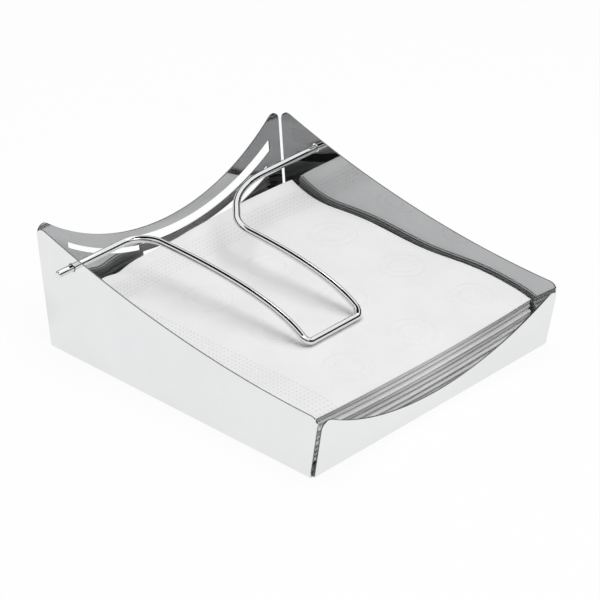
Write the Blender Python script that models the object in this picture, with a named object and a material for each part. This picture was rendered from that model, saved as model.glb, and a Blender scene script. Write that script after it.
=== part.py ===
"""A table napkin holder: a tray folded from polished sheet steel, a hinged wire weight and folded napkins.

Metres, +Z up. X runs along the axis that the wire turns on, the low front wall faces -Y, and the
origin lies under the middle of the tray's floor.
"""

import math

import bmesh
import bpy
from mathutils import Vector

# Sheet and floor of the tray
SHEET = 0.0008
FOLD_RADIUS = 0.0003  # on the inside of each fold
BASE_WIDTH = 0.1792  # along X, where the outer faces of floor and walls would meet
BASE_DEPTH = 0.1870  # along Y
CORNER_RELIEF = 0.0007  # from the side of one wall to its neighbour's fold

# Walls: how far they lean out, where their edges and sides would meet, and the middle of the curved edges
SIDE_LEAN = math.radians(1.1)
FRONT_LEAN = math.radians(9.8)
BACK_LEAN = math.radians(5.6)
SIDE_FRONT_HEIGHT = 0.0367
SIDE_BACK_HEIGHT = 0.0702
FRONT_TIP_HEIGHT = 0.0377
BACK_TIP_HEIGHT = 0.0730
FRONT_DIP_HEIGHT = 0.0115
BACK_DIP_HEIGHT = 0.0384
TIP_RADIUS = 0.0042

# Slots in the back wall, each between two arcs that are flatter than its upper edge
SLOT_SWING = 0.0070  # how far their lowest place stands to +X of the edge's
HIGH_ARC_EASE = 0.0050  # how much longer their radius is than the edge's
MIDDLE_ARC_EASE = 0.0170
LOW_ARC_EASE = 0.0300
SLOT_WEB_X = -0.0197  # the upright web between the left slot and the two right ones
SLOT_WEB = 0.0019
LEFT_SLOT_MARGIN = 0.0197  # from the wall's side to the end of the slot
UPPER_SLOT_MARGIN = 0.0090
LOWER_SLOT_MARGIN = 0.0118
UPPER_SLOT_DEPTH = 0.0051  # below the lowest place of the wall's edge
UPPER_SLOT_WIDTH = 0.0053
LEFT_SLOT_DEPTH = 0.0105
LEFT_SLOT_WIDTH = 0.0032
LOWER_SLOT_DEPTH = 0.0144
LOWER_SLOT_WIDTH = 0.0056

# Wire weight, in a loop that hangs on two holes in the side walls
WIRE = 0.0040
AXIS_Y = 0.0725
AXIS_Z = 0.0546
HOLE_PLAY = 0.0010  # how much wider the holes are than the wire
HOLE_SEAT = 0.0003  # from the wire down to the rim of its hole
LEFT_STUB = 0.0105  # that stands out beyond the side wall
RIGHT_STUB = 0.0035
LOOP_WIDTH = 0.0402  # between the middles of the two arms
LOOP_X = -0.0209  # the middle of the loop, on its axis
LOOP_SKEW = 0.0083  # how far the bar stands to +X of that
LOOP_REACH = 0.1093  # from the axis forward to the bar
KNEE_REACH = 0.0892  # from the axis forward to where the arms would turn down
KNEE_DROP = 0.0038  # of that place below the axis
ROOT_BEND = 0.0151  # radius where the left arm leaves the axis
SLANT_RUN = 0.0294  # the right arm leaves it in a slant, this long in X
SLANT_DEPTH = 0.0273  # and this long in Y
SHOULDER_BEND = 0.0495  # from the axis into the slant
ELBOW_BEND = 0.0200  # from the slant into the arm
BAR_BEND = 0.0036

# Napkins, folded in four, thicker at the back where their folds lie
NAPKIN_SIDE = 0.168
NAPKIN_COUNT = 10
NAPKIN_FRONT = 0.00251  # thickness of one at the front, its gap included
NAPKIN_BACK = 0.00285
NAPKIN_CORNER = 0.0040
NAPKIN_X = 0.0020
NAPKIN_Y = 0.0020
LAY_GAP = 0.0003  # between pieces that lie on each other

# Smoothness
FOLD_STEPS = 4
EDGE_STEPS = 36
TIP_STEPS = 5
SLOT_STEPS = 20
HOLE_STEPS = 24
BEND_STEPS = 10
ARM_STEPS = 16
WIRE_RESOLUTION = 4
NAPKIN_CORNER_STEPS = 3

STEEL = (0.78, 0.79, 0.80)
PAPER = (0.90, 0.90, 0.89)


def clear_scene():
    for thing in list(bpy.data.objects):
        bpy.data.objects.remove(thing, do_unlink=True)


def finish(name, data, color, metallic, roughness, collection):
    """Links the data as an object of that name with a material of its own."""
    material = bpy.data.materials.new(name)
    material.use_nodes = True
    shader = material.node_tree.nodes["Principled BSDF"]
    shader.inputs["Base Color"].default_value = (*color, 1)
    shader.inputs["Metallic"].default_value = metallic
    shader.inputs["Roughness"].default_value = roughness
    data.materials.clear()
    data.materials.append(material)
    part = bpy.data.objects.new(name, data)
    collection.objects.link(part)
    return part


class Wall:
    """One wall of the tray, by its fold: out is the way that it faces, and along runs beside the fold."""

    def __init__(self, out, half, lean):
        self.out = Vector(out)
        self.along = Vector((abs(out[1]), abs(out[0])))
        self.half = half
        self.lean = lean
        self.angle = math.pi / 2 - lean
        self.tangent = (FOLD_RADIUS + SHEET) * math.tan(self.angle / 2)
        self.start = half - self.tangent
        self.fold = self.angle * (FOLD_RADIUS + SHEET / 2)

    def slope(self, height):
        """How far up the wall's outer face a height lies."""
        return height / math.sin(self.angle)

    def side(self, neighbour, slope):
        """How far along the wall its side lies, at that place up the slope."""
        foot = neighbour.start - CORNER_RELIEF
        return foot + slope * math.sin(self.angle) * math.tan(neighbour.lean)

    def on_blank(self, along, slope):
        """The place on the flat blank of a point on the wall."""
        reach = self.start + self.fold - self.tangent + slope
        return self.along * along + self.out * reach

    def folded(self, along, beyond, depth):
        """Where a point of the blank goes when the wall is folded up."""
        outer = FOLD_RADIUS + SHEET
        turn = self.angle * min(beyond / self.fold, 1)
        straight = max(beyond - self.fold, 0)
        reach = self.start + (outer - depth) * math.sin(turn) + straight * math.cos(turn)
        height = outer - (outer - depth) * math.cos(turn) + straight * math.sin(turn)
        flat = self.along * along + self.out * reach
        return Vector((flat.x, flat.y, height))


LEFT = Wall((-1, 0), BASE_WIDTH / 2, SIDE_LEAN)
RIGHT = Wall((1, 0), BASE_WIDTH / 2, SIDE_LEAN)
FRONT = Wall((0, -1), BASE_DEPTH / 2, FRONT_LEAN)
BACK = Wall((0, 1), BASE_DEPTH / 2, BACK_LEAN)


def turned(centre, radius, first, last, steps):
    """Points on an arc, the short way round from one angle to the other."""
    sweep = (last - first + math.pi) % (2 * math.pi) - math.pi
    angles = [first + sweep * i / steps for i in range(steps + 1)]
    return [centre + radius * Vector((math.cos(a), math.sin(a))) for a in angles]


def angle_of(vector):
    return math.atan2(vector.y, vector.x)


def tip(foot, along, inward, centre, radius):
    """The rounded tip between a wall's straight side and its round upper edge."""
    start = foot + inward * TIP_RADIUS
    to_centre = centre - start
    across = to_centre.dot(inward)
    climb = to_centre.dot(along) - math.sqrt((radius + TIP_RADIUS) ** 2 - across**2)
    middle = start + along * climb
    return turned(middle, TIP_RADIUS, angle_of(-inward), angle_of(centre - middle), TIP_STEPS)


def dipped_edge(wall, tip_height, dip_height):
    """Centre and radius of a wall's upper edge that dips in its middle."""
    half = wall.side(RIGHT, wall.slope(tip_height))
    drop = wall.slope(tip_height - dip_height)
    radius = (half**2 + drop**2) / (2 * drop)
    return Vector((0, wall.slope(dip_height) + radius)), radius


def side_edge(wall):
    """Centre and radius of a side wall's upper edge, which is level at the front and climbs to the back."""
    low = wall.slope(SIDE_FRONT_HEIGHT)
    front = -wall.side(FRONT, low)
    back = wall.side(BACK, wall.slope(SIDE_BACK_HEIGHT))
    climb = wall.slope(SIDE_BACK_HEIGHT) - low
    radius = ((back - front) ** 2 + climb**2) / (2 * climb)
    return Vector((front, low + radius)), radius


def wall_outline(wall, low_neighbour, high_neighbour, edge):
    """A wall's outline, from the foot of its low side over its upper edge to the foot of its high side."""
    centre, radius = edge
    ends = []
    for sign, neighbour in ((-1, low_neighbour), (1, high_neighbour)):
        rise = wall.tangent - wall.fold
        foot = Vector((sign * wall.side(neighbour, 0), rise))
        top = Vector((sign * wall.side(neighbour, 1), rise + 1))
        along = (top - foot).normalized()
        inward = Vector((-sign * along.y, sign * along.x))
        ends.append((foot, tip(foot, along, inward, centre, radius)))
    (low_foot, low_tip), (high_foot, high_tip) = ends
    first = angle_of(low_tip[-1] - centre)
    last = angle_of(high_tip[-1] - centre)
    top_edge = turned(centre, radius, first, last, EDGE_STEPS)
    points = [low_foot, *low_tip, *top_edge[1:-1], *reversed(high_tip), high_foot]
    return [wall.on_blank(p.x, p.y) for p in points]


def slot_outline(left, right, upper, lower):
    """A slot in the back wall with upright ends, between two arcs given by lowest height and radius."""
    places = [left + (right - left) * i / SLOT_STEPS for i in range(SLOT_STEPS + 1)]
    points = []
    for (height, radius), row in ((upper, places), (lower, reversed(places))):
        for x in row:
            rise = radius - math.sqrt(radius**2 - (x - SLOT_SWING) ** 2)
            points.append(BACK.on_blank(x, BACK.slope(height) + rise))
    return points


def slot_outlines(edge):
    left_end = -BASE_WIDTH / 2 + LEFT_SLOT_MARGIN
    upper_end = BASE_WIDTH / 2 - UPPER_SLOT_MARGIN
    lower_end = BASE_WIDTH / 2 - LOWER_SLOT_MARGIN
    web_left = SLOT_WEB_X - SLOT_WEB / 2
    web_right = SLOT_WEB_X + SLOT_WEB / 2
    high, middle, low = (edge[1] + ease for ease in (HIGH_ARC_EASE, MIDDLE_ARC_EASE, LOW_ARC_EASE))
    rows = [
        (web_right, upper_end, UPPER_SLOT_DEPTH, UPPER_SLOT_WIDTH, high, middle),
        (web_right, lower_end, LOWER_SLOT_DEPTH, LOWER_SLOT_WIDTH, low, low),
        (left_end, web_left, LEFT_SLOT_DEPTH, LEFT_SLOT_WIDTH, high, high),
    ]
    slots = []
    for left, right, depth, width, upper_arc, lower_arc in rows:
        top = BACK_DIP_HEIGHT - depth
        slots.append(slot_outline(left, right, (top, upper_arc), (top - width, lower_arc)))
    return slots


def hole_outline(wall):
    """The hole in a side wall that the wire turns in, with the wire low in it."""
    radius = (WIRE + HOLE_PLAY) / 2
    middle = AXIS_Z - WIRE / 2 - HOLE_SEAT + radius
    points = []
    for i in range(HOLE_STEPS):
        angle = 2 * math.pi * i / HOLE_STEPS
        y = AXIS_Y + radius * math.cos(angle)
        points.append(wall.on_blank(y, wall.slope(middle + radius * math.sin(angle))))
    return points


def blank_outlines():
    """The outlines of the flat blank: its outer one, then its slots and holes."""
    back_edge = dipped_edge(BACK, BACK_TIP_HEIGHT, BACK_DIP_HEIGHT)
    front_edge = dipped_edge(FRONT, FRONT_TIP_HEIGHT, FRONT_DIP_HEIGHT)
    right = wall_outline(RIGHT, FRONT, BACK, side_edge(RIGHT))
    back = wall_outline(BACK, LEFT, RIGHT, back_edge)
    left = wall_outline(LEFT, FRONT, BACK, side_edge(LEFT))
    front = wall_outline(FRONT, LEFT, RIGHT, front_edge)
    outer = [*right, *reversed(back), *reversed(left), *front]
    return [outer, *slot_outlines(back_edge), hole_outline(LEFT), hole_outline(RIGHT)]


def flat_blank():
    """The blank as a mesh: a flat sheet with its slots and holes, its underside at zero."""
    curve = bpy.data.curves.new("blank", "CURVE")
    curve.dimensions = "2D"
    curve.fill_mode = "BOTH"
    curve.extrude = SHEET / 2
    for outline in blank_outlines():
        spline = curve.splines.new("POLY")
        spline.points.add(len(outline) - 1)
        for point, place in zip(spline.points, outline):
            point.co = (place.x, place.y, 0, 1)
        spline.use_cyclic_u = True
    sheet = bpy.data.objects.new("blank", curve)
    bpy.context.collection.objects.link(sheet)
    bpy.context.view_layer.update()
    evaluated = sheet.evaluated_get(bpy.context.evaluated_depsgraph_get())
    mesh = bpy.data.meshes.new_from_object(evaluated)
    bpy.data.objects.remove(sheet, do_unlink=True)
    return mesh


def tray(collection):
    """The blank, scored along its folds and folded up into the tray."""
    mesh = flat_blank()
    blank = bmesh.new()
    blank.from_mesh(mesh)
    bmesh.ops.remove_doubles(blank, verts=blank.verts, dist=SHEET / 40)
    bmesh.ops.translate(blank, verts=blank.verts, vec=(0, 0, SHEET / 2))
    walls = (LEFT, RIGHT, FRONT, BACK)
    for wall in walls:
        for step in range(FOLD_STEPS + 1):
            place = wall.out * (wall.start + wall.fold * step / FOLD_STEPS)
            everything = [*blank.verts, *blank.edges, *blank.faces]
            bmesh.ops.bisect_plane(
                blank, geom=everything, dist=1e-7, plane_co=(*place, 0), plane_no=(*wall.out, 0)
            )
    for vertex in blank.verts:
        flat = vertex.co.xy
        wall = max(walls, key=lambda w: w.out.dot(flat) - w.start)
        beyond = wall.out.dot(flat) - wall.start
        if beyond > 0:
            vertex.co = wall.folded(wall.along.dot(flat), beyond, vertex.co.z)
    bmesh.ops.recalc_face_normals(blank, faces=blank.faces)
    blank.to_mesh(mesh)
    blank.free()
    finish("tray", mesh, STEEL, 1.0, 0.08, collection)


def stack_height(y):
    """The height of the top of the stack of napkins at a place along Y."""
    return SHEET + LAY_GAP + NAPKIN_COUNT * napkin_pitch(y)


def napkin_pitch(y):
    """The thickness of one napkin and the gap over it, at a place along Y."""
    share = (y - NAPKIN_Y) / NAPKIN_SIDE + 0.5
    return NAPKIN_FRONT + (NAPKIN_BACK - NAPKIN_FRONT) * share


def bent(before, corner, after, radius):
    """The arc that rounds one corner of a bent wire, seen from above."""
    back = (before - corner).normalized()
    ahead = (after - corner).normalized()
    half = back.angle(ahead) / 2
    centre = corner + (back + ahead).normalized() * (radius / math.sin(half))
    trim = radius / math.tan(half)
    first = angle_of(corner + back * trim - centre)
    last = angle_of(corner + ahead * trim - centre)
    return turned(centre, radius, first, last, BEND_STEPS)


def arm_height(y, drop):
    """The height of the loop over its axis: a curve that runs out level and turns down to the bar."""
    out = -y
    spread = LOOP_REACH - 2 * KNEE_REACH
    share = out / (KNEE_REACH + math.sqrt(KNEE_REACH**2 + spread * out))
    return -2 * share * (1 - share) * KNEE_DROP - share**2 * drop


def wire_points():
    """The middle of the wire from its left end to its right end, about the axis."""
    wall = BASE_WIDTH / 2 + AXIS_Z * math.tan(SIDE_LEAN)
    left = LOOP_X - LOOP_WIDTH / 2
    right = LOOP_X + LOOP_WIDTH / 2
    slant_skew = LOOP_SKEW * SLANT_DEPTH / LOOP_REACH
    corners = [
        Vector((-wall - LEFT_STUB, 0)),
        Vector((left, 0)),
        Vector((left + LOOP_SKEW, -LOOP_REACH)),
        Vector((right + LOOP_SKEW, -LOOP_REACH)),
        Vector((right + slant_skew, -SLANT_DEPTH)),
        Vector((right + SLANT_RUN, 0)),
        Vector((wall + RIGHT_STUB, 0)),
    ]
    radii = (ROOT_BEND, BAR_BEND, BAR_BEND, ELBOW_BEND, SHOULDER_BEND)
    arcs = [bent(*corners[i : i + 3], radius) for i, radius in enumerate(radii)]
    left_arm = [arcs[0][-1].lerp(arcs[1][0], i / ARM_STEPS) for i in range(1, ARM_STEPS)]
    right_arm = [arcs[2][-1].lerp(arcs[3][0], i / ARM_STEPS) for i in range(1, ARM_STEPS)]
    plan = [corners[0], *arcs[0], *left_arm, *arcs[1], *arcs[2], *right_arm, *arcs[3], *arcs[4], corners[-1]]

    bar_y = AXIS_Y - LOOP_REACH
    drop = AXIS_Z - (stack_height(bar_y) + LAY_GAP + WIRE / 2)
    return [Vector((p.x, p.y, arm_height(p.y, drop))) for p in plan]


def weight_arm(collection):
    """The bent wire, with its origin on the axis that it turns on."""
    curve = bpy.data.curves.new("weight_arm", "CURVE")
    curve.dimensions = "3D"
    curve.bevel_depth = WIRE / 2
    curve.bevel_resolution = WIRE_RESOLUTION
    curve.use_fill_caps = True
    points = wire_points()
    spline = curve.splines.new("POLY")
    spline.points.add(len(points) - 1)
    for point, place in zip(spline.points, points):
        point.co = (*place, 1)
    arm = finish("weight_arm", curve, STEEL, 1.0, 0.06, collection)
    arm.location = (0, AXIS_Y, AXIS_Z)


def napkin(index, collection):
    """One folded napkin of the stack, counted from the bottom."""
    block = bmesh.new()
    bmesh.ops.create_cube(block, size=1)
    bmesh.ops.translate(block, verts=block.verts, vec=(0, 0, 0.5))
    bmesh.ops.scale(block, verts=block.verts, vec=(NAPKIN_SIDE, NAPKIN_SIDE, 1))
    upright = [e for e in block.edges if e.verts[0].co.xy == e.verts[1].co.xy]
    bmesh.ops.bevel(
        block, geom=upright, offset=NAPKIN_CORNER, segments=NAPKIN_CORNER_STEPS, profile=0.5, affect="EDGES"
    )
    bmesh.ops.translate(block, verts=block.verts, vec=(NAPKIN_X, NAPKIN_Y, 0))
    for vertex in block.verts:
        pitch = napkin_pitch(vertex.co.y)
        thickness = pitch - LAY_GAP
        vertex.co.z = SHEET + LAY_GAP + index * pitch + vertex.co.z * thickness
    mesh = bpy.data.meshes.new("napkin")
    block.to_mesh(mesh)
    block.free()
    finish(f"napkin_{index + 1:02d}", mesh, PAPER, 0.0, 0.9, collection)


def main():
    clear_scene()
    holder = bpy.data.collections.new("Napkin holder")
    bpy.context.scene.collection.children.link(holder)
    tray(holder)
    weight_arm(holder)
    for index in range(NAPKIN_COUNT):
        napkin(index, holder)


main()
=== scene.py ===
"""Looks of a table napkin holder: a polished steel tray, a chrome wire and folded tissue napkins.

Everything is in metres in the frame of the CAD part: X runs along the hinge of the wire, the low
front wall faces -Y, and the origin lies under the middle of the tray.
"""

import math

import bpy
import numpy as np
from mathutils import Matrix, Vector


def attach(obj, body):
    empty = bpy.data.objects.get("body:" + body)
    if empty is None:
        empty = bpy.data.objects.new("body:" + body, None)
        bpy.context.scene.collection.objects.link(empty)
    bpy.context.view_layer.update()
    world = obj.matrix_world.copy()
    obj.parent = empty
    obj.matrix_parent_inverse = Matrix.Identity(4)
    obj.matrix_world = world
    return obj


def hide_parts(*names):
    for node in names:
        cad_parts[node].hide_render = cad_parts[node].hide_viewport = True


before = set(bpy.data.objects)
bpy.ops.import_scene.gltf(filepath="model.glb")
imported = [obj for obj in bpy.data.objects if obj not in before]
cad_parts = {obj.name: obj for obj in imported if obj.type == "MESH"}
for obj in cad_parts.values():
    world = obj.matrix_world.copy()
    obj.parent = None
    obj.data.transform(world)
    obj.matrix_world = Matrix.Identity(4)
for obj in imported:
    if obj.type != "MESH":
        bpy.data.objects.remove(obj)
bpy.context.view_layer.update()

# Camera, as the photograph was taken
CAMERA_AZIMUTH = math.radians(-46.7)
CAMERA_ELEVATION = math.radians(30.06)
CAMERA_DISTANCE = 1.7528
CAMERA_TARGET = Vector((0.00003, -0.00093, 0.0267))
CAMERA_LENS = 203.98
CAMERA_SENSOR = 36.0

# Steel tray
TRAY_WIDTH = 0.1792
TRAY_DEPTH = 0.1870
SHEET = 0.0008
EDGE_BREAK = 0.00012  # how far the sharp edges of the sheet are rubbed off
FOLD_TOP = 0.003  # above it a face that looks neither in nor out is the cut edge of the sheet

# Metals: smears and waves a metre, range of roughness, and tone where bright and where smeared
METALS = {
    "polished_steel": {
        "smear": 26.0,
        "wave": 9.0,
        "gloss": (0.04, 0.08),
        "bright": (0.81, 0.815, 0.82),
        "dull": (0.79, 0.795, 0.80),
    },
    # inside faces: the same steel made darker, painted shade for the inside of the tray
    "inner_painted_shade": {
        "smear": 26.0,
        "wave": 9.0,
        "gloss": (0.03, 0.06),
        "bright": (0.54, 0.545, 0.55),
        "dull": (0.51, 0.515, 0.52),
    },
    "chrome": {
        "smear": 60.0,
        "wave": 40.0,
        "gloss": (0.02, 0.05),
        "bright": (0.80, 0.805, 0.81),
        "dull": (0.76, 0.765, 0.77),
    },
    # cut edge of the sheet: rougher than the faces, and darkened as a painted dark reflection that
    # draws dark lines along the top edges
    "cut_edge_painted_reflection": {
        "smear": 26.0,
        "wave": 9.0,
        "gloss": (0.24, 0.34),
        "bright": (0.20, 0.20, 0.205),
        "dull": (0.15, 0.15, 0.155),
    },
}
WAVE_HEIGHT = 0.00001

# Chrome wire, on the same route as the CAD wire
WIRE = 0.0040
WIRE_END_ROUND = 0.0009
AXIS_Y = 0.0725
AXIS_Z = 0.0546
LEFT_END_X = -0.10115
RIGHT_END_X = 0.09415
LOOP_WIDTH = 0.0402
LOOP_X = -0.0209
LOOP_SKEW = 0.0083
LOOP_REACH = 0.1093
KNEE_REACH = 0.0892
KNEE_DROP = 0.0038
ROOT_BEND = 0.0151
SLANT_RUN = 0.0294
SLANT_DEPTH = 0.0273
SHOULDER_BEND = 0.0495
ELBOW_BEND = 0.0200
BAR_BEND = 0.0036
BAR_DROP = 0.02519
BEND_STEPS = 28
ARM_STEPS = 44
END_STEPS = 6

# Napkins, each a flat sheet folded in half at the right and then at the front
NAPKIN_COUNT = 10
NAPKIN_CUT = 0.336
NAPKIN_SIDE = NAPKIN_CUT / 2
NAPKIN_X = 0.0020
NAPKIN_Y = 0.0020
NAPKIN_RIGHT = NAPKIN_X + NAPKIN_SIDE / 2
NAPKIN_FRONT = NAPKIN_Y - NAPKIN_SIDE / 2
NAPKIN_BACK = NAPKIN_Y + NAPKIN_SIDE / 2
PAPER = 0.00026
PLY = 0.00052  # from one layer of a napkin to the next, in its folds
LOOSE = 0.97  # share of its height in the stack that a napkin fills
PINCH = 0.18  # how much less of it the folds fill
LAYERS = 4
TOP_HEIGHT = 0.7  # height of the top napkin, to that of the others
HEIGHT_SPREAD = (0.89, 1.11)
FOLD_SPREAD = 0.0006  # how far a napkin's folds miss its middle
SHIFT_SPREAD = (0.0005, 0.0006)  # how far it lies off its place to the side, and forward
TURN_SPREAD = 0.15  # in degrees
FORWARD_STEP = 0.00042  # how much further forward each napkin lies than the one above it
TOP_OVERHANG = 0.0006  # how far the top napkin stands over the next one
FOLD_STEPS = 16
SIDE_FOLD_STEPS = 8
SHEET_STEPS = 40
TOP_UNDER_STEPS = 80  # under layers of the top napkin
TOP_SHEET_STEPS = 100

# Form of the stack
STACK_FOOT = SHEET + 0.0003
STACK_RISE = 0.0258
CROWN = 0.0004  # rise of its middle over its sides
FRONT_SAG = 0.0020  # how far the folds at the front sink
FRONT_SAG_REACH = 0.006
BACK_LIP = 0.0016  # how far the loose layers stand up at the back
BACK_LIP_RIGHT = 0.0045  # and how much more in the right corner
BACK_LIP_DEPTH = 0.034
RIGHT_WAVE = 0.0010  # waves of the right edge
RIGHT_WAVE_FROM = 0.025
RIGHT_WAVE_LENGTH = 0.080
RIGHT_WAVE_PEAK = -0.048
DENT = 0.0020  # a dent in the back edge beside the wire
DENT_X = -0.044
DENT_WIDTH = 0.007
FRONT_BULGE = 0.0036
BACK_BULGE = 0.0040
CORNER_OUT = 0.0006  # how far the front right corner lies forward
CORNER_RIGHT = 0.0005  # and to the right
PINCH_REACH = 0.005
SWAY = 0.00018  # slow waves along the folds at the front
SWAY_REACH = 0.010
SWAY_LENGTH = 0.13
RIPPLE = 0.00003
RIPPLE_LENGTHS = (0.061, 0.047)
SEED = 7

# Pattern pressed into the tissue
DOT_PITCH = 0.0026
DOT_BAND = (0.007, 0.023)  # from the cut edges
BAND_FADE = 0.001
RINGS_PER_METRE = 21.0
RING_RADII = (0.15, 0.26)  # in shares of the rings' pitch
RING_LINE = (0.005, 0.030)
RING_MARGIN = (0.034, 0.040)
EMBOSS_DEPTH = 0.0004

# Studio
WORLD_LIGHT = 0.32
FLOOR_WHITE = 0.93  # how much of the floor's look is plain white
PAINTED_SHADOW_NEAR = (0.100, 0.130)  # where the painted shadow on the floor behind the tray, seen only in metal, fades in, turns grey and fades out
PAINTED_SHADOW_TURN = (0.150, 0.156)
PAINTED_SHADOW_FAR = (0.18, 0.29)
PAINTED_SHADOW_SIDES = (0.04, 0.13)
PAINTED_SHADOW_DARK = 0.01
PAINTED_SHADOW_GREY = 0.43


def deselect():
    bpy.ops.object.select_all(action="DESELECT")


def work_on(piece):
    """Makes a piece the only one selected, and the active one."""
    deselect()
    piece.select_set(True)
    bpy.context.view_layer.objects.active = piece


def apply_modifier(piece, kind, **settings):
    work_on(piece)
    modifier = piece.modifiers.new(kind.title(), kind)
    for name, value in settings.items():
        setattr(modifier, name, value)
    bpy.ops.object.modifier_apply(modifier=modifier.name)


def smooth(piece, angle):
    work_on(piece)
    bpy.ops.object.shade_smooth_by_angle(angle=math.radians(angle))


def dress(piece, name, material):
    piece.name = name
    piece.data.name = name
    piece.data.materials.clear()
    piece.data.materials.append(material)


# Finishes


class Nodes:
    """A short way to place and join nodes in one tree."""

    def __init__(self, tree):
        self.tree = tree

    def add(self, kind, inputs=None, **settings):
        node = self.tree.nodes.new(kind)
        for name, value in settings.items():
            setattr(node, name, value)
        for name, value in (inputs or {}).items():
            if isinstance(value, bpy.types.NodeSocket):
                self.tree.links.new(value, node.inputs[name])
            else:
                node.inputs[name].default_value = value
        return node

    def join(self, output, socket):
        self.tree.links.new(output, socket)

    def math(self, operation, *values):
        inputs = dict(enumerate(values))
        return self.add("ShaderNodeMath", inputs, operation=operation).outputs[0]

    def sum_of(self, *shares):
        """The sum of some values, each times its own share."""
        parts = [self.math("MULTIPLY", value, share) for value, share in shares]
        total = parts[0]
        for part in parts[1:]:
            total = self.math("ADD", total, part)
        return total

    def ramp(self, value, low, high, to_low=0.0, to_high=1.0):
        inputs = {"Value": value, "From Min": low, "From Max": high}
        inputs |= {"To Min": to_low, "To Max": to_high}
        node = self.add("ShaderNodeMapRange", inputs, interpolation_type="SMOOTHSTEP")
        return node.outputs["Result"]

    def fade(self, value, low, high):
        return self.ramp(value, low, high, 1.0, 0.0)

    def tone(self, share, first, second):
        node = self.add("ShaderNodeMix", data_type="RGBA")
        self.join(share, node.inputs[0])
        node.inputs[6].default_value = (*first, 1)
        node.inputs[7].default_value = (*second, 1)
        return node.outputs[2]

    def noise(self, place, scale, detail=3.0, rough=0.5):
        inputs = {"Vector": place, "Scale": scale, "Detail": detail, "Roughness": rough}
        return self.add("ShaderNodeTexNoise", inputs).outputs["Fac"]


def new_material(name):
    material = bpy.data.materials.new(name)
    material.use_nodes = True
    return material, Nodes(material.node_tree), material.node_tree.nodes["Principled BSDF"]


def polish_group():
    """Rubbed metal: smears and hairlines in its gloss, and the slow waves of rolled metal."""
    group = bpy.data.node_groups.new("rubbed_polish", "ShaderNodeTree")
    face = group.interface
    face.new_socket("Place", in_out="INPUT", socket_type="NodeSocketVector")
    for name in ("Smear Scale", "Gloss Low", "Gloss High", "Wave Scale"):
        face.new_socket(name, in_out="INPUT", socket_type="NodeSocketFloat")
    for name in ("Roughness", "Smear", "Height"):
        face.new_socket(name, in_out="OUTPUT", socket_type="NodeSocketFloat")
    nodes = Nodes(group)
    given = nodes.add("NodeGroupInput").outputs
    smear = nodes.noise(given["Place"], given["Smear Scale"], 4.0, 0.6)
    along = {"Vector": given["Place"], "Scale": (900.0, 40.0, 40.0)}
    stretched = nodes.add("ShaderNodeMapping", along).outputs["Vector"]
    hairline = nodes.noise(stretched, 3.0, 2.0)
    share = nodes.ramp(nodes.sum_of((smear, 0.75), (hairline, 0.25)), 0.35, 0.7)
    span = nodes.math("SUBTRACT", given["Gloss High"], given["Gloss Low"])
    gloss = nodes.math("MULTIPLY_ADD", share, span, given["Gloss Low"])
    wave = nodes.noise(given["Place"], given["Wave Scale"], 1.0)
    result = nodes.add("NodeGroupOutput").inputs
    nodes.join(gloss, result["Roughness"])
    nodes.join(share, result["Smear"])
    nodes.join(wave, result["Height"])
    return group


def metal(name, polish, smear, wave, gloss, bright, dull):
    material, nodes, shader = new_material(name)
    place = nodes.add("ShaderNodeTexCoord").outputs["Object"]
    rubbed = nodes.add("ShaderNodeGroup", node_tree=polish)
    nodes.join(place, rubbed.inputs["Place"])
    rubbed.inputs["Smear Scale"].default_value = smear
    rubbed.inputs["Gloss Low"].default_value = gloss[0]
    rubbed.inputs["Gloss High"].default_value = gloss[1]
    rubbed.inputs["Wave Scale"].default_value = wave
    shader.inputs["Metallic"].default_value = 1.0
    nodes.join(nodes.tone(rubbed.outputs["Smear"], bright, dull), shader.inputs["Base Color"])
    nodes.join(rubbed.outputs["Roughness"], shader.inputs["Roughness"])
    waves = {"Height": rubbed.outputs["Height"], "Strength": 1.0, "Distance": WAVE_HEIGHT}
    bump = nodes.add("ShaderNodeBump", waves)
    nodes.join(bump.outputs["Normal"], shader.inputs["Normal"])
    return material


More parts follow.
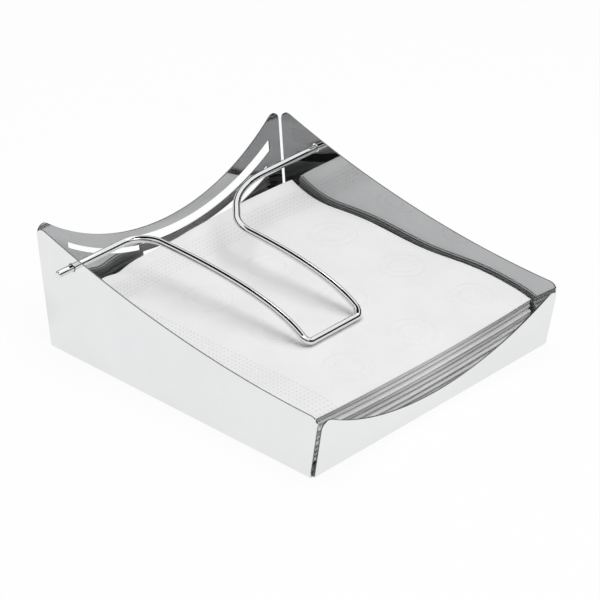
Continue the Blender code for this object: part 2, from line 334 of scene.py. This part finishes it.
def tissue():
    """Embossed tissue: a border of fine dots along the cut edges, soft rings, and crepe."""
    material, nodes, shader = new_material("tissue")
    sheet = nodes.add("ShaderNodeUVMap", uv_map="sheet").outputs["UV"]
    scaled = {0: sheet, 3: NAPKIN_CUT}
    flat = nodes.add("ShaderNodeVectorMath", scaled, operation="SCALE").outputs[0]
    parts = nodes.add("ShaderNodeSeparateXYZ", {0: flat}).outputs
    across, along = parts["X"], parts["Y"]

    def edge_distance(value):
        from_middle = nodes.math("ABSOLUTE", nodes.math("SUBTRACT", value, NAPKIN_SIDE))
        return nodes.math("SUBTRACT", NAPKIN_SIDE, from_middle)

    border = nodes.math("MINIMUM", edge_distance(across), edge_distance(along))
    outer, inner = DOT_BAND
    from_edge = nodes.ramp(border, outer, outer + BAND_FADE)
    band = nodes.math("MULTIPLY", from_edge, nodes.fade(border, inner - BAND_FADE, inner))
    pitch = 2 * math.pi / DOT_PITCH
    waves = [nodes.math("SINE", nodes.math("MULTIPLY", v, pitch)) for v in (across, along)]
    dots = nodes.ramp(nodes.math("MINIMUM", *waves), 0.0, 0.6)
    dots = nodes.math("MULTIPLY", dots, band)

    grid = {"Vector": flat, "Scale": RINGS_PER_METRE, "Randomness": 0.0}
    distance = nodes.add("ShaderNodeTexVoronoi", grid).outputs["Distance"]
    from_ring = [
        nodes.math("ABSOLUTE", nodes.math("SUBTRACT", distance, radius)) for radius in RING_RADII
    ]
    ring = nodes.fade(nodes.math("MINIMUM", *from_ring), *RING_LINE)
    ring = nodes.math("MULTIPLY", ring, nodes.ramp(border, *RING_MARGIN))

    place = nodes.add("ShaderNodeTexCoord").outputs["Object"]
    crepe_place = nodes.add("ShaderNodeMapping", {"Vector": flat, "Scale": (1.0, 4.0, 1.0)})
    crepe = nodes.noise(crepe_place.outputs["Vector"], 420.0, 3.0, 0.6)
    fibre = nodes.noise(place, 1500.0, 2.0)
    cloud = nodes.noise(place, 38.0, 2.0)

    height = nodes.sum_of((dots, -0.55), (ring, -1.0), (crepe, 0.12), (fibre, 0.03))
    pressing = {"Height": height, "Strength": 0.55, "Distance": EMBOSS_DEPTH}
    bump = nodes.add("ShaderNodeBump", pressing)
    nodes.join(bump.outputs["Normal"], shader.inputs["Normal"])

    shade = nodes.sum_of((cloud, 0.55), (crepe, 0.45))
    paper = nodes.tone(nodes.ramp(shade, 0.35, 0.65), (0.80, 0.80, 0.80), (0.84, 0.84, 0.84))
    pressed = nodes.add("ShaderNodeMix", data_type="RGBA")
    nodes.join(nodes.math("MULTIPLY", dots, 0.5), pressed.inputs[0])
    nodes.join(paper, pressed.inputs[6])
    pressed.inputs[7].default_value = (0.66, 0.66, 0.66, 1)
    nodes.join(pressed.outputs[2], shader.inputs["Base Color"])
    nodes.join(nodes.ramp(crepe, 0.3, 0.7, 0.88, 0.98), shader.inputs["Roughness"])
    shader.inputs["Specular IOR Level"].default_value = 0.2
    shader.inputs["Sheen Weight"].default_value = 0.05
    return material


# Pieces


def sheet_side(face):
    """Which material a face of the tray has: 0 outside, 1 inside, darkened with painted shade, 2
    on the cut edge of the sheet, darkened with a painted reflection.
    """
    normal, place = face.normal, face.center
    side_wall = abs(place.x) - TRAY_WIDTH / 2 > abs(place.y) - TRAY_DEPTH / 2
    axis = 0 if side_wall else 1
    out = normal[axis] * math.copysign(1, place[axis])
    if place.z > FOLD_TOP and abs(out) < 0.7:
        return 2
    on_floor = normal.z > 0.5 and place.z < 2 * SHEET
    return int(on_floor or out < -0.05)


def steel_tray(outside, inside, cut):
    """The tray: the folded sheet of the CAD part with its sharp edges rubbed off."""
    tray = bpy.data.objects.new("steel_tray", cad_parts["tray"].data.copy())
    bpy.context.scene.collection.objects.link(tray)
    work_on(tray)
    bpy.ops.object.mode_set(mode="EDIT")
    bpy.ops.mesh.select_all(action="SELECT")
    bpy.ops.mesh.remove_doubles(threshold=0.000002)
    bpy.ops.mesh.dissolve_limited(angle_limit=math.radians(0.3))
    bpy.ops.mesh.select_all(action="DESELECT")
    bpy.ops.object.mode_set(mode="OBJECT")
    sharp = math.radians(40)
    apply_modifier(
        tray, "BEVEL", width=EDGE_BREAK, segments=2, limit_method="ANGLE", angle_limit=sharp
    )
    smooth(tray, 30)
    apply_modifier(tray, "WEIGHTED_NORMAL", keep_sharp=True, weight=100)
    dress(tray, "steel_tray", outside)
    tray.data.materials.append(inside)
    tray.data.materials.append(cut)
    for face in tray.data.polygons:
        face.material_index = sheet_side(face)
    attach(tray, "tray")
    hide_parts("tray")


def turned(centre, radius, first, last, steps):
    sweep = (last - first + math.pi) % (2 * math.pi) - math.pi
    angles = [first + sweep * i / steps for i in range(steps + 1)]
    return [centre + radius * Vector((math.cos(a), math.sin(a))) for a in angles]


def bent(before, corner, after, radius):
    """The arc that rounds one corner of the wire, seen from above."""
    back = (before - corner).normalized()
    ahead = (after - corner).normalized()
    half = back.angle(ahead) / 2
    centre = corner + (back + ahead).normalized() * (radius / math.sin(half))
    trim = radius / math.tan(half)
    first, last = [
        math.atan2(end.y, end.x)
        for end in (corner + back * trim - centre, corner + ahead * trim - centre)
    ]
    return turned(centre, radius, first, last, BEND_STEPS)


def between(first, last, steps):
    return [first.lerp(last, i / steps) for i in range(1, steps)]


def arm_height(y):
    """The height of the loop over its hinge: out nearly level, then down to the bar."""
    spread = LOOP_REACH - 2 * KNEE_REACH
    share = -y / (KNEE_REACH + math.sqrt(KNEE_REACH**2 - spread * y))
    return -2 * share * (1 - share) * KNEE_DROP - share**2 * BAR_DROP


def wire_route():
    """The middle of the wire from its left end to its right end."""
    left = LOOP_X - LOOP_WIDTH / 2
    right = LOOP_X + LOOP_WIDTH / 2
    slant_skew = LOOP_SKEW * SLANT_DEPTH / LOOP_REACH
    corners = [
        Vector((LEFT_END_X, 0)),
        Vector((left, 0)),
        Vector((left + LOOP_SKEW, -LOOP_REACH)),
        Vector((right + LOOP_SKEW, -LOOP_REACH)),
        Vector((right + slant_skew, -SLANT_DEPTH)),
        Vector((right + SLANT_RUN, 0)),
        Vector((RIGHT_END_X, 0)),
    ]
    radii = (ROOT_BEND, BAR_BEND, BAR_BEND, ELBOW_BEND, SHOULDER_BEND)
    root, bar_left, bar_right, elbow, shoulder = [
        bent(*corners[i : i + 3], radius) for i, radius in enumerate(radii)
    ]
    angles = [math.pi / 2 * i / END_STEPS for i in range(END_STEPS + 1)]
    steps = [WIRE_END_ROUND * (1 - math.cos(angle)) for angle in angles]
    left_end = [corners[0] + Vector((step, 0)) for step in steps]
    right_end = [corners[-1] - Vector((step, 0)) for step in reversed(steps)]
    plan = [*left_end, *root, *between(root[-1], bar_left[0], ARM_STEPS), *bar_left, *bar_right]
    plan += [*between(bar_right[-1], elbow[0], ARM_STEPS), *elbow]
    plan += [*between(elbow[-1], shoulder[0], END_STEPS), *shoulder, *right_end]
    return [Vector((p.x, p.y + AXIS_Y, AXIS_Z + arm_height(p.y))) for p in plan]


def end_radius(inward):
    """The radius of the wire at a place so far in from its end, which is rounded."""
    short = min(max(WIRE_END_ROUND - inward, 0), WIRE_END_ROUND)
    return WIRE / 2 - WIRE_END_ROUND + math.sqrt(WIRE_END_ROUND**2 - short**2)


def chrome_wire(material):
    """The wire weight: one round wire, bent and with its two ends rounded."""
    deselect()
    bpy.ops.curve.primitive_nurbs_path_add()
    wire = bpy.context.object
    curve = wire.data
    curve.splines.clear()
    route = wire_route()
    spline = curve.splines.new("POLY")
    spline.points.add(len(route) - 1)
    for point, place in zip(spline.points, route):
        point.co = (*place, 1)
        point.radius = end_radius(min(place.x - LEFT_END_X, RIGHT_END_X - place.x)) / (WIRE / 2)
    curve.dimensions = "3D"
    curve.bevel_depth = WIRE / 2
    curve.bevel_resolution = 6
    curve.use_fill_caps = True
    bpy.ops.object.convert(target="MESH")
    wire = bpy.context.object
    bpy.ops.object.mode_set(mode="EDIT")
    bpy.ops.mesh.select_all(action="SELECT")
    bpy.ops.mesh.remove_doubles(threshold=0.00001)
    bpy.ops.mesh.normals_make_consistent(inside=False)
    bpy.ops.mesh.select_all(action="DESELECT")
    bpy.ops.object.mode_set(mode="OBJECT")
    smooth(wire, 40)
    dress(wire, "chrome_wire", material)
    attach(wire, "weight_arm")
    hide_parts("weight_arm")


def rolling(place, length, phase):
    return np.cos(2 * np.pi * place / length + phase)


def stack_rise(x, y):
    """The thickness of the whole stack of napkins over a place in the tray."""
    across = (x - NAPKIN_X) / (NAPKIN_SIDE / 2)
    right = np.clip((x - RIGHT_WAVE_FROM) / (NAPKIN_RIGHT - RIGHT_WAVE_FROM), 0, 1)
    back = np.clip(1 - (NAPKIN_BACK - y) / BACK_LIP_DEPTH, 0, 1)
    rise = STACK_RISE + CROWN * (1 - across**2)
    rise = rise - FRONT_SAG * np.exp(-np.maximum(y - NAPKIN_FRONT, 0) / FRONT_SAG_REACH)
    rise = rise + (BACK_LIP + BACK_LIP_RIGHT * np.clip(across, 0, 1) ** 0.7) * back**3
    edge_wave = rolling(y - RIGHT_WAVE_PEAK, RIGHT_WAVE_LENGTH, 0)
    rise = rise + RIGHT_WAVE * right**2 * edge_wave * (1 - back)
    return rise - DENT * back**2 * np.exp(-(((x - DENT_X) / DENT_WIDTH) ** 2))


def places(fold, half_arc, arc_steps, near, far):
    """Where the rows of a sheet lie: close together in the fold, and evenly on both its sides."""
    first = np.linspace(0, fold - half_arc, near + 1)
    arc = np.linspace(fold - half_arc, fold + half_arc, arc_steps + 1)
    last = np.linspace(fold + half_arc, NAPKIN_CUT, far + 1)
    return np.concatenate([first, arc[1:], last[1:]])


def fold_turn(along, fold, half_arc):
    """The angle that a fold has turned a place on the sheet, and how far from the fold it lies."""
    beyond = along - fold
    angle = np.clip(beyond / half_arc, -1, 1) * np.pi / 2
    return angle, np.maximum(np.abs(beyond) - half_arc, 0)


def tissue_napkin(index, foot, height, material, chance):
    """One napkin, counted from the bottom: a flat sheet folded at the right, then at the front."""
    top = index == NAPKIN_COUNT - 1
    front_fold = NAPKIN_SIDE + chance.uniform(-FOLD_SPREAD, FOLD_SPREAD)
    right_fold = NAPKIN_SIDE + chance.uniform(-FOLD_SPREAD, FOLD_SPREAD)
    shift = chance.uniform([-spread for spread in SHIFT_SPREAD], SHIFT_SPREAD)
    turn = math.radians(chance.uniform(-TURN_SPREAD, TURN_SPREAD))
    slip = chance.uniform(-FOLD_SPREAD, FOLD_SPREAD)
    phase = chance.uniform(0, 2 * math.pi, 3)
    forward = 0.0 if top else FORWARD_STEP * (NAPKIN_COUNT - 2 - index) - TOP_OVERHANG

    front_arc = PLY * math.pi / 2
    right_arc = PLY / 2 * math.pi / 2
    near, far = (TOP_UNDER_STEPS, TOP_SHEET_STEPS) if top else (SHEET_STEPS, SHEET_STEPS)
    across = places(right_fold, right_arc, SIDE_FOLD_STEPS, near, far)
    along = places(front_fold, front_arc, FOLD_STEPS, near, far)

    deselect()
    bpy.ops.mesh.primitive_grid_add(
        x_subdivisions=len(across) - 1, y_subdivisions=len(along) - 1, size=NAPKIN_CUT
    )
    napkin = bpy.context.object
    mesh = napkin.data
    flat = np.empty(len(mesh.vertices) * 3)
    mesh.vertices.foreach_get("co", flat)
    flat = flat.reshape(-1, 3) / NAPKIN_CUT + 0.5
    column = np.rint(flat[:, 0] * (len(across) - 1)).astype(int)
    row = np.rint(flat[:, 1] * (len(along) - 1)).astype(int)
    s = across[column]
    t = along[row]

    front_angle, beyond_front = fold_turn(t, front_fold, front_arc)
    right_angle, beyond_right = fold_turn(s, right_fold, right_arc)
    inner = 0.5 - 0.5 * np.sin(right_angle)
    radius = 1.5 - inner
    level = 1.5 + radius * np.sin(front_angle)
    x = NAPKIN_RIGHT - PLY / 2 * (1 - np.cos(right_angle)) - beyond_right
    x = x + slip * (0.5 + 0.5 * np.sin(front_angle))
    y = NAPKIN_FRONT + 1.5 * PLY - radius * PLY * np.cos(front_angle) + beyond_front

    from_fold = np.maximum(np.minimum(y - NAPKIN_FRONT, NAPKIN_RIGHT - x), 0)
    pinched = np.exp(-from_fold / PINCH_REACH)
    sway = SWAY * np.exp(-(y - NAPKIN_FRONT) / SWAY_REACH) * rolling(x, SWAY_LENGTH, phase[2])

    in_x = (x - NAPKIN_X) / (NAPKIN_SIDE / 2)
    in_y = (y - NAPKIN_FRONT) / NAPKIN_SIDE
    y = y - (FRONT_BULGE * (1 - in_x**2) + CORNER_OUT * (1 + in_x)) * (1 - in_y)
    y = y + BACK_BULGE * (1 - in_x**2) * in_y**3
    x = x + CORNER_RIGHT * (1 + in_x) * (1 - in_y)
    cos, sin = math.cos(turn), math.sin(turn)
    x, y = x - NAPKIN_X, y - NAPKIN_Y
    turned_x = NAPKIN_X + x * cos - y * sin + shift[0]
    turned_y = NAPKIN_Y + x * sin + y * cos + shift[1] - forward

    layer = 0.5 + (level - 1.5) / LAYERS * (LOOSE - PINCH * pinched)
    pitch = stack_rise(turned_x, turned_y) / NAPKIN_COUNT
    ripple = rolling(turned_x, RIPPLE_LENGTHS[0], phase[0])
    ripple = ripple + rolling(turned_y, RIPPLE_LENGTHS[1], phase[1])
    z = STACK_FOOT + pitch * (foot + height * layer) + RIPPLE * ripple + sway
    mesh.vertices.foreach_set("co", np.column_stack([turned_x, turned_y, z]).ravel())

    mesh.uv_layers[0].name = "sheet"
    corner = np.empty(len(mesh.loops), int)
    mesh.loops.foreach_get("vertex_index", corner)
    own = np.column_stack([s, t])[corner] / NAPKIN_CUT
    mesh.uv_layers["sheet"].data.foreach_set("uv", own.ravel())
    mesh.update()

    paper = PAPER * TOP_HEIGHT if top else PAPER
    apply_modifier(napkin, "SOLIDIFY", thickness=paper, offset=0.0, use_rim=True)
    smooth(napkin, 50)
    name = f"tissue_napkin_{index + 1:02d}"
    dress(napkin, name, material)
    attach(napkin, "tray")
    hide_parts(f"napkin_{index + 1:02d}")
    return name


# Studio


def seen_white(nodes):
    """One for what the lens sees, also in metal or through glass, and nought for other light."""
    path = nodes.add("ShaderNodeLightPath").outputs
    seen = nodes.math("MAXIMUM", path["Is Camera Ray"], path["Is Glossy Ray"])
    return nodes.math("MAXIMUM", seen, path["Is Transmission Ray"])


def studio_world():
    world = bpy.data.worlds.new("studio")
    bpy.context.scene.world = world
    world.use_nodes = True
    nodes = Nodes(world.node_tree)
    light = world.node_tree.nodes["Background"]
    light.inputs["Color"].default_value = (1, 1, 1, 1)
    strength = nodes.math("MULTIPLY_ADD", seen_white(nodes), 1 - WORLD_LIGHT, WORLD_LIGHT)
    nodes.join(strength, light.inputs["Strength"])


def matt(name, tone):
    material, nodes, shader = new_material(name)
    shader.inputs["Base Color"].default_value = (tone, tone, tone, 1)
    shader.inputs["Roughness"].default_value = 1.0
    shader.inputs["Specular IOR Level"].default_value = 0.0
    return material, nodes, shader


def studio_floor():
    """A pale floor just under the tray, white to the lens, that keeps the tray's shadow."""
    deselect()
    bpy.ops.mesh.primitive_plane_add(size=8, location=(0, 0, -0.0002))
    floor = bpy.context.object
    material, nodes, shader = matt("studio_floor", 0.9)
    white = nodes.add("ShaderNodeEmission", {"Color": (1, 1, 1, 1), "Strength": 1.0})
    both = nodes.add("ShaderNodeMixShader")
    nodes.join(nodes.math("MULTIPLY", seen_white(nodes), FLOOR_WHITE), both.inputs[0])
    nodes.join(shader.outputs[0], both.inputs[1])
    nodes.join(white.outputs[0], both.inputs[2])
    surface = material.node_tree.nodes["Material Output"].inputs["Surface"]
    nodes.join(both.outputs[0], surface)
    dress(floor, "studio_floor", material)


def only_in_metal(flag, name, material):
    """Stands a flag where only polished metal shows it, and not the lens or the paper."""
    dress(flag, name, material)
    flag.visible_camera = False
    flag.visible_diffuse = False
    flag.visible_shadow = False


def flag_plane(name, place, size, material):
    """A flat flag that faces the middle of the set."""
    deselect()
    bpy.ops.mesh.primitive_plane_add(size=1, location=place)
    flag = bpy.context.object
    flag.scale = (*size, 1)
    flag.rotation_mode = "QUATERNION"
    flag.rotation_quaternion = (-Vector(place)).to_track_quat("Z", "Y")
    only_in_metal(flag, name, material)


def level_card(name, place, size, material):
    deselect()
    bpy.ops.mesh.primitive_plane_add(size=1, location=place)
    card = bpy.context.object
    card.scale = (*size, 1)
    bpy.ops.object.transform_apply(location=True, rotation=True, scale=True)
    only_in_metal(card, name, material)


def painted_floor_shadow():
    """Painted shadow on the floor, seen only in metal: dark near the tray and grey behind, and
    fades out all round.
    """
    material, nodes, shader = matt("painted_floor_shadow", PAINTED_SHADOW_GREY)
    place = nodes.add("ShaderNodeTexCoord").outputs["Object"]
    parts = nodes.add("ShaderNodeSeparateXYZ", {0: place}).outputs
    along = parts["Y"]
    sides = nodes.fade(nodes.math("ABSOLUTE", parts["X"]), *PAINTED_SHADOW_SIDES)
    ends = nodes.math("MULTIPLY", nodes.ramp(along, *PAINTED_SHADOW_NEAR), nodes.fade(along, *PAINTED_SHADOW_FAR))
    nodes.join(nodes.math("MULTIPLY", sides, ends), shader.inputs["Alpha"])
    tone = nodes.tone(nodes.ramp(along, *PAINTED_SHADOW_TURN), [PAINTED_SHADOW_DARK] * 3, [PAINTED_SHADOW_GREY] * 3)
    nodes.join(tone, shader.inputs["Base Color"])
    return material


def dark_cloth():
    """Dark cloth round the set and over it, and a painted shadow of the tray on the floor behind
    it.
    """
    cloth = matt("flag_cloth", 0.01)[0]
    grey_cloth = matt("grey_cloth", 0.9)[0]
    deselect()
    bpy.ops.mesh.primitive_cylinder_add(
        vertices=96, radius=1.4, depth=0.58, end_fill_type="NOTHING", location=(0, 0, 0.29)
    )
    only_in_metal(bpy.context.object, "low_flag", cloth)
    flag_plane("right_flag", (0.95, -0.95, 0.42), (1.60, 0.96), cloth)
    flag_plane("left_flag", (-1.26, 0.34, 0.25), (1.50, 0.50), grey_cloth)
    level_card("top_flag", (-0.27, -0.025, 1.05), (1.22, 1.55), cloth)
    # painted shadow of the tray on the floor behind it, dark near its back wall and grey further
    # out, seen only in metal
    level_card("painted_shadow_card", (0.0, 0.195, 0.0002), (0.30, 0.19), painted_floor_shadow())


def soft_light(name, place, aim, size, power):
    deselect()
    bpy.ops.object.light_add(type="AREA", location=place)
    lamp = bpy.context.object
    lamp.name = name
    lamp.data.shape = "SQUARE"
    lamp.data.size = size
    lamp.data.energy = power
    lamp.rotation_mode = "QUATERNION"
    lamp.rotation_quaternion = (Vector(aim) - Vector(place)).to_track_quat("-Z", "Y")


def studio_camera():
    deselect()
    bpy.ops.object.camera_add()
    camera = bpy.context.object
    back = Vector(
        (
            math.sin(CAMERA_AZIMUTH) * math.cos(CAMERA_ELEVATION),
            -math.cos(CAMERA_AZIMUTH) * math.cos(CAMERA_ELEVATION),
            math.sin(CAMERA_ELEVATION),
        )
    )
    camera.location = CAMERA_TARGET + back * CAMERA_DISTANCE
    camera.rotation_mode = "QUATERNION"
    camera.rotation_quaternion = (-back).to_track_quat("-Z", "Y")
    camera.data.lens = CAMERA_LENS
    camera.data.sensor_width = CAMERA_SENSOR
    camera.data.clip_start = 0.1
    camera.data.clip_end = 50
    bpy.context.scene.camera = camera


def build():
    polish = polish_group()
    outside, inside, chrome, cut = [metal(name, polish, **look) for name, look in METALS.items()]
    paper = tissue()
    steel_tray(outside, inside, cut)
    chrome_wire(chrome)
    chance = np.random.default_rng(SEED)
    heights = chance.uniform(*HEIGHT_SPREAD, NAPKIN_COUNT)
    heights[-1] *= TOP_HEIGHT
    heights = heights * NAPKIN_COUNT / heights.sum()
    feet = np.cumsum(heights) - heights
    below = "steel_tray"
    for index in range(NAPKIN_COUNT):
        below = tissue_napkin(index, feet[index], heights[index], paper, chance)
    studio_world()
    studio_floor()
    dark_cloth()
    soft_light("top_light", place=(0.05, 0.05, 1.2), aim=(0, 0, 0), size=0.9, power=8.0)
    soft_light("fill_light", place=(-0.20, -0.85, 1.20), aim=(0, 0, 0.03), size=0.5, power=5.6)
    studio_camera()
    bpy.context.scene.view_settings.view_transform = "Standard"


build()
